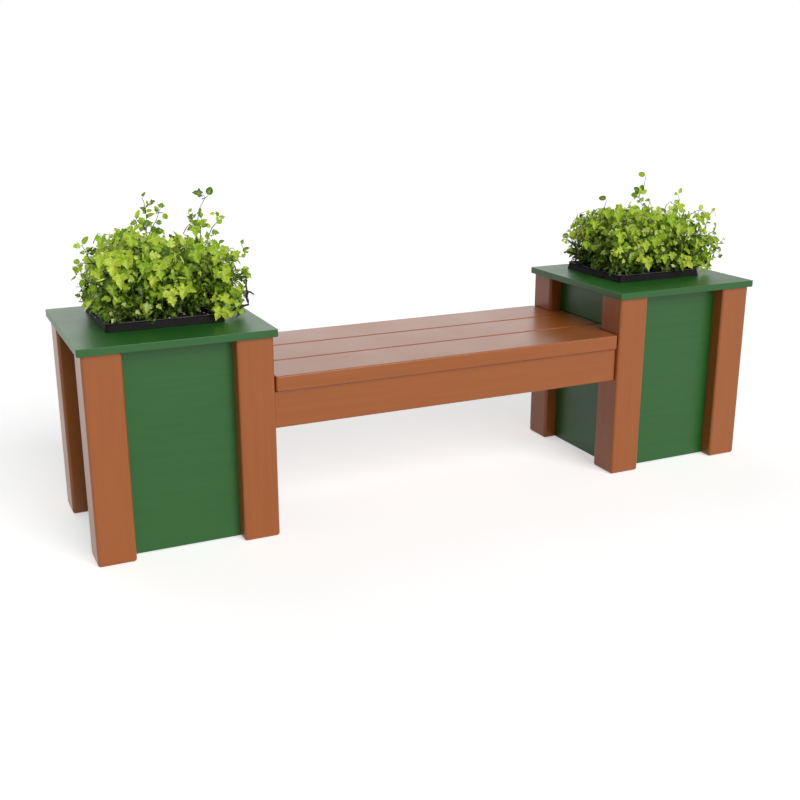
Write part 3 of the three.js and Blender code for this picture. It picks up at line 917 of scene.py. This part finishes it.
# How much brighter each side's leaves are painted: painted light standing in for stronger light on that
# crown.
CROWN_PAINTED_LIGHT = {"left": 1.26, "right": 1.6}
# The second pair brightens leaves up the crown: painted light on the upper leaves and painted shade on the
# lower ones.
TONES = ((0.12, 0.88), (0.14, 1.22))  # least and what is added, along the stem and up the crown
LEAF_TONES = (0.2, 0.7, 1.3)
TONE_SPREAD = (-0.2, 0.26)
MOST_TONE = 0.84
PALE_SHARE = 0.015
PALE_TONES = (0.8, 0.92)
SPRIG_KINDS = (("oval", "round", "lobed", "cut"), (0.4, 0.25, 0.15, 0.2))

# Sprigs above and beside the bush, in millimetres from the middle of the tray at the height of the top
# plate: how far back, then along the stem x and z, and where leaves grow, how many and their length
SPRIGS = {
    "left": (
        (0, (-8, 196), (-6, 226, 1, 16), (-10, 244, 3, 17), (-20, 250, 2, 18), (-30, 266, 3, 19)),
        (10, (-2, 205), (-2, 237, 2, 15), (0, 266, 5, 18), (-1, 289, 4, 14), (11, 303, 3, 12)),
        (10, (-2, 285), (-4, 306), (-9, 318, 1, 17)),
        (20, (2, 209), (15, 235, 1, 13), (29, 257), (36, 275, 1, 13), (41, 284, 2, 20)),
        (20, (35, 274), (47, 274, 1, 18)), (20, (24, 213), (32, 239, 6, 17), (43, 225, 2, 11)),
        (30, (138, 194), (142, 242), (149, 277), (167, 306), (164, 314, 1, 25)),
        (30, (167, 306), (174, 310, 1, 21)),
        (0, (138, 192), (143, 230, 3, 18), (146, 253, 5, 19), (141, 270, 2, 13)),
        (20, (136, 206), (129, 244, 1, 12), (126, 255, 2, 13), (116, 269, 1, 12)),
        (20, (130, 239), (119, 248, 1, 19)),
        (0, (155, 186), (173, 228, 4, 18), (189, 243, 2, 15), (196, 257, 2, 16), (185, 267, 1, 18)),
        (-20, (151, 172), (162, 199, 5, 17), (182, 189, 2, 15)),
        (0, (-157, 164), (-168, 191, 2, 14), (-175, 205, 2, 22)), (0, (-126, 194), (-120, 225, 1, 16)),
        (0, (-92, 191), (-90, 218, 3, 16)), (0, (-152, 154), (-180, 158, 4, 16), (-191, 151, 1, 20)),
        (20, (-152, 118), (-173, 109, 2, 17)),
        (20, (-159, 87), (-177, 76, 1, 13), (-183, 66, 2, 13), (-188, 54, 1, 13)),
        (-100, (190, 139), (207, 164, 2, 19), (223, 160, 1, 13), (233, 170, 2, 14), (230, 181, 1, 14),
         (224, 194, 1, 13)),
        (-110, (197, 118), (223, 130, 2, 16), (239, 122, 1, 24)), (-110, (202, 101), (230, 105, 3, 15)),
        (-110, (201, 74), (222, 73, 3, 14), (219, 51, 3, 13)),
        (-118, (150, 60, 2, 18), (178, 46, 4, 20), (196, 28, 5, 18), (206, 14, 3, 14)),
        (-96, (150, 70, 2, 18), (190, 62, 5, 18), (212, 44, 5, 18), (216, 24, 4, 15)),
        (-70, (150, 80, 2, 16), (190, 70, 5, 18), (216, 52, 5, 18), (220, 28, 4, 15)),
        (-30, (150, 80, 2, 16), (190, 66, 5, 18), (212, 50, 5, 18), (216, 30, 4, 15)),
        (-142, (118, 44), (134, 52, 3, 18), (152, 40, 5, 20), (160, 22, 5, 18), (166, 12, 3, 14)),
        (-130, (140, 60), (172, 48, 4, 20), (190, 34, 5, 18), (196, 20, 4, 15)),
    ),
    "right": (
        (0, (-98, 169), (-110, 208, 4, 20)), (0, (-123, 196), (-121, 221), (-116, 238, 1, 26)),
        (20, (44, 184), (41, 213, 1, 12), (32, 225, 2, 14), (27, 241), (28, 255, 5, 25)),
        (20, (30, 250), (44, 275), (48, 304, 1, 24)), (20, (189, 193), (193, 223), (183, 246, 2, 20)),
        (0, (68, 179), (62, 212), (55, 231, 1, 12)), (20, (19, 179), (-7, 202, 2, 14), (-26, 200, 1, 12)),
        (0, (-129, 164), (-141, 200, 3, 17)), (0, (-62, 167), (-65, 204, 4, 18), (-63, 218, 2, 16)),
        (20, (-145, 150), (-170, 186, 4, 17)), (20, (-175, 139), (-205, 168, 2, 19)),
        (30, (-180, 79), (-212, 103, 1, 12), (-229, 126, 2, 20), (-231, 138, 1, 12)),
        (30, (-212, 101), (-238, 113, 1, 12), (-251, 120, 2, 11)),
        (0, (61, 166), (52, 207, 4, 16), (56, 228, 1, 12)), (0, (103, 157), (94, 195, 4, 16)),
        (20, (143, 166), (134, 189), (139, 207), (155, 219, 1, 10), (177, 207, 3, 23), (187, 188, 4, 25)),
        (-40, (89, 163), (87, 182), (124, 172, 1, 12), (148, 164, 3, 15)),
        (-90, (147, 133), (141, 171, 1, 20)),
        (-100, (187, 145), (177, 178, 2, 15), (174, 202, 1, 20), (157, 200, 1, 12)),
        (-120, (187, 141), (200, 178, 4, 17), (212, 201, 2, 14), (229, 189, 1, 14)),
        (-130, (189, 123), (218, 137, 3, 14), (228, 153, 2, 15)),
        (-140, (183, 92), (216, 100, 3, 15), (241, 95, 2, 16), (250, 109, 1, 16)),
        (-140, (179, 60), (218, 80, 3, 15), (244, 63, 2, 16)), (-140, (181, 40), (222, 49, 2, 17)),
        (-128, (140, 70, 2, 18), (178, 56, 5, 20), (200, 36, 5, 18), (208, 18, 4, 15)),
        (-110, (150, 90, 2, 18), (186, 80, 5, 18), (214, 62, 5, 18), (222, 40, 4, 15)),
        (-134, (150, 110, 2, 18), (190, 104, 5, 18), (214, 96, 5, 18), (226, 78, 4, 15)),
        (-60, (150, 90, 2, 18), (186, 80, 5, 18), (210, 60, 5, 18), (218, 36, 4, 15)),
        (-144, (96, 52), (124, 48, 4, 18), (146, 40, 5, 18), (166, 26, 4, 16), (178, 14, 3, 13)),
        (-134, (130, 72), (164, 60, 4, 18), (186, 50, 5, 18), (204, 28, 4, 15)),
    ),
}

# The large leaves that face the front, in millimetres: x, y, z of the blade's foot, its length, how far its
# tip turns from straight down in degrees, and its tone from 0, dark, to 100, pale
BIG_LEAVES = {
    "left": (
        (-76, -134, 250, 44, 8, 55), (-124, -159, 190, 56, -6, 75), (-95, -159, 198, 44, 10, 65),
        (-151, -144, 197, 36, -14, 60), (-111, -164, 151, 40, 4, 72), (-14, -164, 168, 46, 4, 60),
        (-28, -164, 139, 30, -10, 70), (5, -174, 101, 50, 12, 75), (50, -174, 110, 40, -14, 70),
        (85, -144, 195, 40, 20, 50), (149, -144, 191, 40, -20, 55), (149, -159, 139, 40, 24, 65),
        (147, -169, 75, 30, 30, 70), (140, -174, 42, 34, -30, 75), (-171, -134, 162, 30, 30, 60),
        (-17, -114, 234, 34, 25, 62), (102, -94, 248, 30, 0, 50), (-139, -94, 237, 30, -10, 45),
        (197, -134, 183, 26, 20, 60), (63, -154, 155, 34, 5, 45), (-48, -174, 70, 24, -20, 90),
        (-133, -154, 123, 30, 10, 40), (-50, -154, 169, 30, -8, 45), (-79, -159, 52, 14, 60, 95),
        (-108, -154, 75, 12, 20, 100), (-134, -154, 35, 13, -30, 95), (-23, -157, 63, 16, 40, 85),
    ),
    "right": (
        (-127, -74, 209, 34, 10, 60), (-72, -94, 217, 50, 6, 65), (-163, -154, 157, 34, -12, 65),
        (-158, -54, 215, 30, 12, 55), (-206, -74, 186, 30, -10, 55), (-39, -159, 139, 36, 0, 55),
        (-80, -164, 123, 30, 4, 70), (76, -144, 168, 40, -20, 62), (145, -144, 194, 34, 14, 60),
        (-80, -174, 77, 38, 10, 75), (68, -179, 61, 46, 50, 75), (103, -154, 159, 30, -14, 70),
        (169, -144, 201, 26, 10, 55), (-212, -54, 166, 28, -24, 45), (-227, -54, 121, 26, 12, 45),
        (229, -134, 114, 22, 0, 55), (-120, -154, 94, 20, -20, 92), (-11, -174, 80, 28, 0, 60),
        (29, -164, 86, 28, 0, 65), (-7, -144, 142, 44, -12, 50), (34, -159, 43, 15, 70, 95),
        (-106, -154, 166, 36, -30, 60), (-46, -124, 196, 38, 30, 60), (32, -134, 191, 34, 16, 50),
    ),
}
# From these lengths on, two or four smaller leaves grow at the blade's foot: by how many degrees each turns
# from the blade, and its least and greatest share of the blade's length
ROSETTE_SIZE = 30
WHOLE_ROSETTE_SIZE = 40
ROSETTE = ((-68, 0.5, 0.75), (70, 0.5, 0.75), (-135, 0.35, 0.6), (140, 0.35, 0.6))
BROAD_SIZE = 36
PLEAT = 0.12

# Dark dry twigs in millimetres: the thickness at foot and tip, then points x, y, z
TWIGS = {
    "left": (
        (4.4, 2.6, (140, -112, 14), (164, -118, 26), (186, -120, 22), (205, -125, 30), (228, -128, 36),
         (224, -128, 56), (226, -130, 70)),
        (2.8, 1.8, (226, -130, 70), (233, -133, 70), (243, -135, 63)),
        (2.6, 1.6, (226, -130, 70), (223, -127, 88), (228, -124, 100), (223, -124, 112)),
        (2.6, 1.4, (205, -125, 30), (198, -128, 10), (190, -130, 3)),
        (3.0, 1.8, (150, -100, 14), (176, -108, 40), (190, -112, 74), (188, -114, 108)),
        (2.6, 1.6, (150, -112, 14), (172, -118, 34), (180, -120, 66), (176, -118, 96)),
        (3.6, 2.2, (-140, 70, 14), (-160, 64, 26), (-168, 62, 34), (-167, 62, 60), (-165, 60, 88),
         (-152, 60, 96)),
        (2.6, 1.6, (-146, -60, 14), (-166, -66, 30), (-180, -70, 50)),
    ),
    "right": (
        (4.0, 2.6, (-140, 66, 14), (-164, 64, 26), (-181, 63, 36), (-178, 62, 56), (-190, 62, 66),
         (-222, 60, 71)),
        (2.6, 1.8, (-222, 60, 71), (-226, 60, 69), (-228, 60, 73)),
        (2.4, 1.6, (-178, 62, 56), (-190, 58, 54), (-196, 58, 44)),
        (2.6, 1.6, (-178, 62, 56), (-180, 66, 84), (-196, 70, 100), (-214, 72, 112)),
        (3.2, 2.0, (140, -116, 14), (166, -128, 27), (190, -136, 32), (196, -140, 50), (206, -142, 60)),
        (2.2, 1.4, (196, -140, 50), (190, -142, 62), (196, -142, 74)),
        (2.6, 1.6, (100, 110, 14), (120, 148, 40), (128, 160, 70)),
    ),
}


def placed(centre, x, y, z):
    return centre + Vector((x, y, z)) * MM


def grow_sprig(growth, wood, chance, centre, back, nodes):
    """A thin woody stem through its nodes, with the leaves of each node round it."""
    path = [placed(centre, x, back, z) for x, z, *_ in nodes]
    foot = path[0] + (path[0] - path[1]) * 0.5
    foot.x, foot.y = foot.x * 0.96 + centre.x * 0.04, foot.y * 0.9 + centre.y * 0.1
    wood.tube([foot] + path, *SPRIG_WOOD)
    for i, (_, _, *leaves) in enumerate(nodes):
        count, size = leaves or (0, 0)
        below = path[max(i - 1, 0)]
        run = (path[i] - below + UP * TINY).normalized()
        turn = chance.uniform(0, 2 * math.pi)
        for order in range(count):
            turn += GOLDEN_TURN
            joint = path[i].lerp(below, min(order * 0.22, 0.8))
            side = turned(run.orthogonal().normalized(), turn, run)
            along = side + run * chance.uniform(0.1, 0.9) + random_direction(chance) * 0.3
            along.y *= 0.5
            along.normalize()
            length = size * MM * chance.uniform(0.85, 1.2)
            blade = joint + along * length * 0.18
            growth.tube([joint, blade], *SPRIG_STALK)
            normal = Vector((-0.35, -0.8, 0.4)) + random_direction(chance) * 0.45
            normal -= along * normal.dot(along)
            kind = chance.choices(*SPRIG_KINDS)[0]
            tone, fold, curl = (chance.uniform(*ends) for ends in ((0.18, 0.72), (0.05, 0.3), (0.05, 0.35)))
            growth.leaf(kind, blade, along, normal.normalized(), length, tone, fold, curl)


def facing_leaf(growth, chance, centre, spec):
    """A large leaf that faces forward and up, on a stalk that goes back into the crown, and the smaller
    leaves at its foot."""
    x, y, z, size, lean, tone = spec
    tone = tone / 100
    blade = placed(centre, x, y, z)
    normal = Vector((-0.3 + chance.uniform(-0.2, 0.2), -0.8, 0.6 + chance.uniform(-0.1, 0.2))).normalized()
    down = turned((-UP - normal * normal.dot(-UP)).normalized(), math.radians(lean), normal)
    foot = blade + Vector((chance.uniform(-0.01, 0.01), 0.09, -0.03))
    growth.tube(curve_points(foot, blade + Vector((0, 0.04, 0.018)), blade, 4), *BIG_STALK)
    kind = "broad" if size > BROAD_SIZE and chance.random() < 0.7 else "ivy"
    length = size * MM * (0.8 if size > WHOLE_ROSETTE_SIZE else 0.95)
    fold, curl = chance.uniform(0.1, 0.35), chance.uniform(0.15, 0.5)
    growth.leaf(kind, blade, down, normal, length, tone, fold, curl, PLEAT)
    if size < ROSETTE_SIZE:
        return
    for turn, least, most in ROSETTE if size >= WHOLE_ROSETTE_SIZE else ROSETTE[:2]:
        aside = turned(down, math.radians(turn + chance.uniform(-22, 22)), normal)
        tilted = (normal + random_direction(chance) * 0.55).normalized()
        start = blade + aside * length * 0.12 + Vector((0, chance.uniform(0.002, 0.008), 0))
        kind = chance.choice(("broad", "ivy"))
        ends = (least, most), (0.5, 1.05), (0.1, 0.4), (0.15, 0.5)
        size_share, tone_share, fold, curl = (chance.uniform(*pair) for pair in ends)
        growth.leaf(kind, start, aside, tilted, length * size_share, tone * tone_share, fold, curl, PLEAT)


def grow_quarter(growth, chance, centre, signs, side):
    """The branches of the plant in one quarter of the tray, and its trunk."""
    sign_x, sign_y = signs
    soil = COLLAR_HEIGHT - SOIL_BELOW_RIM
    for _ in range(BRANCHES):
        reach, skin = crown_point(chance, side, signs)
        tip = centre + reach
        foot_x = min(abs(reach.x) * chance.uniform(*BRANCH_FOOT_SHARES), BRANCH_FOOT_MOST[0])
        foot_y = min(abs(reach.y) * chance.uniform(*BRANCH_FOOT_SHARES), BRANCH_FOOT_MOST[1])
        foot = centre + Vector((sign_x * foot_x, sign_y * foot_y, soil))
        bend = foot.lerp(tip, 0.35)
        bend.z = centre.z + max(reach.z * 0.8, soil + 0.03)
        path = curve_points(foot, bend, tip, 6)
        growth.tube(path, chance.uniform(*BRANCH_RADII), *BRANCH_TIP)
        leafy_stem(growth, chance, centre, path, skin, CROWN_PAINTED_LIGHT[side])
    root = centre + Vector((sign_x * 0.07, sign_y * 0.066, soil - 0.004))
    crown = root + Vector((sign_x * 0.01, sign_y * 0.006, crown_top(side, sign_x * 0.08) * 0.55))
    middle = root.lerp(crown, 0.6) + Vector((0.006, 0.004, 0))
    growth.tube(curve_points(root, middle, crown, 6), *TRUNK)


def grow_twigs(wood, chance, centre, side):
    for first, last, *points in TWIGS[side]:
        path = []
        corners = [placed(centre, *point) for point in points]
        for start, stop in zip(corners, corners[1:]):
            for step in range(3):
                path.append(start.lerp(stop, step / 3) + random_direction(chance) * 0.0007)
        path.append(corners[-1])
        wood.tube(path, first * MM, last * MM, 7, chance)


def grow_plants(side, seed):
    """The four plants of a planter, and the dry wood between them."""
    chance = random.Random(seed)
    centre = Vector((*tray_middle(side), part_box(f"{side}_tray")[1][2] - COLLAR_HEIGHT))
    growths = {signs: Growth() for signs in ((-1, -1), (1, -1), (-1, 1), (1, 1))}
    wood = Growth()

    def growth_at(x, y):
        return growths[1 if x > 0 else -1, 1 if y > 0 else -1]

    for signs, growth in growths.items():
        grow_quarter(growth, chance, centre, signs, side)
    for back, *nodes in SPRIGS[side]:
        grow_sprig(growth_at(nodes[0][0], back), wood, chance, centre, back, nodes)
    for spec in BIG_LEAVES[side]:
        facing_leaf(growth_at(spec[0], spec[1]), chance, centre, spec)
    grow_twigs(wood, chance, centre, side)
    for number, growth in enumerate(growths.values(), 1):
        node = f"{side}_plant_{number}"
        leaves = new_mesh(f"{node}_leaves", growth.leaf_points, growth.leaf_faces, LEAF)
        for name, values in (("rib", growth.ribs), ("tone", growth.tones)):
            leaves.data.attributes.new(name, "FLOAT", "POINT").data.foreach_set("value", values)
        stems = new_mesh(f"{node}_stems", growth.stem_points, growth.stem_faces, STEM)
        for obj in (leaves, stems):
            obj.data.shade_smooth()
            dress(obj, node, f"{side}_planting")
    obj = new_mesh(f"{side}_dry_twigs", wood.stem_points, wood.stem_faces, TWIG)
    obj.data.shade_smooth()
    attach(obj, f"{side}_planting")


# The seeds of each side's soil and plants
SEEDS = {"left": (5, 21), "right": (8, 34)}

for side in SIDES:
    soil_seed, plants_seed = SEEDS[side]
    make_planter_boards(side)
    make_top_plate(side)
    make_tray(side)
    make_soil(side, soil_seed)
    grow_plants(side, plants_seed)
make_seat()

for name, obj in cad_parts.items():
    if "screw" in name or "bolt" in name or "nut" in name:
        for slot in obj.material_slots:
            slot.material = STEEL


# The studio

FLOOR_REACH = 30
FLOOR_GREYS = (0.90, 0.92)
FLOOR_GLOW = 0.49
WORLD_LIGHT = 0.17

# The camera that was fitted to the photograph: its lens and sensor in millimetres, place and turn in degrees
CAMERA_LENS = 49.045
CAMERA_SENSOR = 36.0
CAMERA_PLACE = (-1.4193, -2.8698, 1.2264)
CAMERA_TURN = (73.02, 0.0, -25.156)

# Name, direction, width in degrees and strength
LAMPS = (
    ("front_lamp", (0.9, -4.6, 2.5), 45, 2.34),
    ("rear_lamp", (-1.2, 3.0, 2.6), 50, 0.45),
    ("low_lamp", (0.85, 4.0, 1.0), 50, 0.25),
)


def make_floor():
    """A pale floor that reads as white where nothing shades it."""
    made = Shader("studio_floor")
    corners = [(x * FLOOR_REACH, y * FLOOR_REACH, 0) for x, y in ((-1, -1), (1, -1), (1, 1), (-1, 1))]
    obj = new_mesh("studio_floor", corners, [(0, 1, 2, 3)], made.material)
    tint = made.tones(made.noise(3, 2, 0.5), *((grey, grey, grey, 1) for grey in FLOOR_GREYS))
    made.set(Base_Color=tint, Roughness=0.9, Specular_IOR_Level=0.1)
    strength = made.node("ShaderNodeMath", {0: made.seen_directly(), 1: FLOOR_GLOW}, operation="MULTIPLY")
    glow = made.node("ShaderNodeEmission", {"Strength": strength.outputs["Value"]})
    shaders = {0: made.principled.outputs["BSDF"], 1: glow.outputs["Emission"]}
    made.show(made.node("ShaderNodeAddShader", shaders))


def make_world():
    world = bpy.data.worlds.new("studio_white")
    bpy.context.scene.world = world
    world.use_nodes = True
    made = Nodes(world.node_tree)
    inputs = {"Value": made.seen_directly(), "To Min": WORLD_LIGHT, "To Max": 1.0}
    strength = made.node("ShaderNodeMapRange", inputs)
    background = world.node_tree.nodes["Background"]
    made.feed(background.inputs["Color"], (1, 1, 1, 1))
    made.feed(background.inputs["Strength"], strength.outputs["Result"])


def add_soft_lamp(name, place, spread, strength):
    """A very wide, even lamp far away in the direction of a place."""
    light = bpy.data.lights.new(name, "SUN")
    light.angle = math.radians(spread)
    light.energy = strength
    obj = add_object(name, light)
    obj.location = place
    obj.rotation_euler = Vector(place).to_track_quat("Z", "Y").to_euler()


def make_camera():
    camera = bpy.data.cameras.new("photo_camera")
    camera.sensor_width = CAMERA_SENSOR
    camera.lens = CAMERA_LENS
    obj = add_object("photo_camera", camera)
    obj.location = CAMERA_PLACE
    obj.rotation_euler = [math.radians(turn) for turn in CAMERA_TURN]
    bpy.context.scene.camera = obj


make_camera()
make_world()
make_floor()
for lamp in LAMPS:
    add_soft_lamp(*lamp)
bpy.context.scene.view_settings.view_transform = "Standard"
